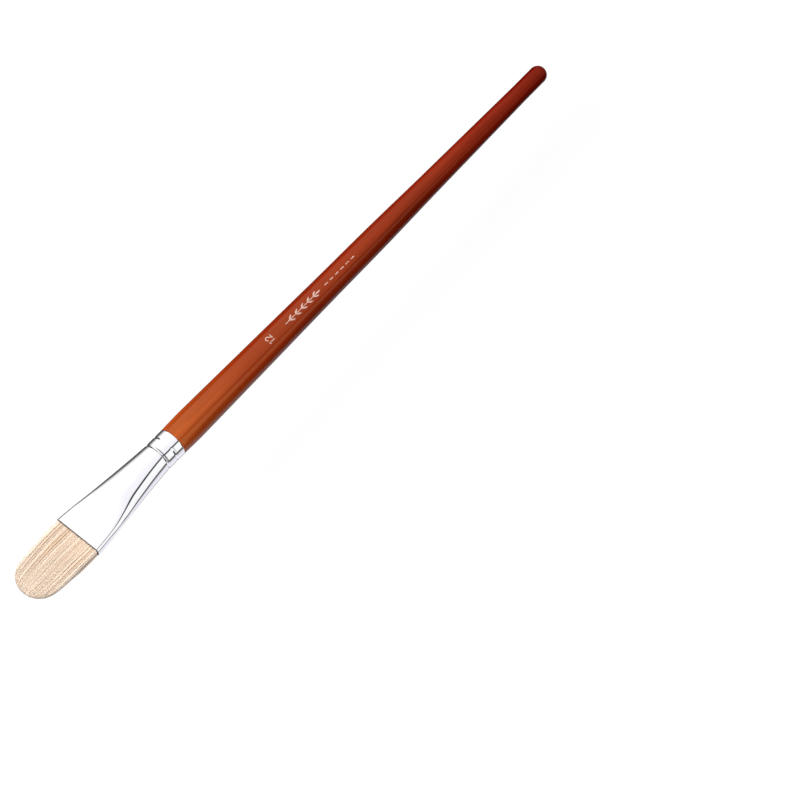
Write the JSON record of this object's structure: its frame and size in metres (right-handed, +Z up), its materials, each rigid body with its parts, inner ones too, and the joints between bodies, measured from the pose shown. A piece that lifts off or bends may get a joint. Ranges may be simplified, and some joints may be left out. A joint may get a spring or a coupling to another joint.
{
  "type": "paint brush",
  "caption": "Long-handled filbert artist's paint brush: lacquered wooden handle, plated double-crimped ferrule flattened at the mouth, natural bristle tuft that flexes.",
  "frame": {"origin": "on the surface that the handle's belly touches, under the middle of the brush's length and width", "axes": "+X along the brush from the tuft to the end of the handle, +Y across the flat of the ferrule, +Z up through its thickness"},
  "size_m": [0.345, 0.0242, 0.0146],
  "materials": {
    "lacquered_wood": "clear gloss lacquer over stain, orange-brown at the ferrule and dark red-brown at the end",
    "plated_ferrule": "bright polished nickel plate",
    "adhesive": "cured adhesive film",
    "resin": "cured epoxy",
    "bristle_root": "natural bristle soaked with resin",
    "bristle": "natural undyed hog bristle",
    "bristle_edge": "natural undyed hog bristle",
    "foil": "hot-stamped silver foil"
  },
  "bodies": {
    "brush_body": {"handle": "lacquered_wood", "ferrule": "plated_ferrule", "handle_adhesive": "adhesive", "resin_plug": "resin", "bristle_roots": "bristle_root", "size_number": "foil", "foil_ornament": "foil"},
    "tuft": {"tuft_core": "bristle", "tuft_upper": "bristle", "tuft_lower": "bristle", "tuft_left": "bristle_edge", "tuft_right": "bristle_edge"}
  },
  "joints": [
    {"name": "tuft_flex", "type": "hinge", "parent": "brush_body", "child": "tuft", "pos_m": [-0.1421, 0, 0.0073], "axis": [0, 1, 0], "range_deg": [-35, 35], "stiffness_Nm_per_rad": 0.06}
  ]
}
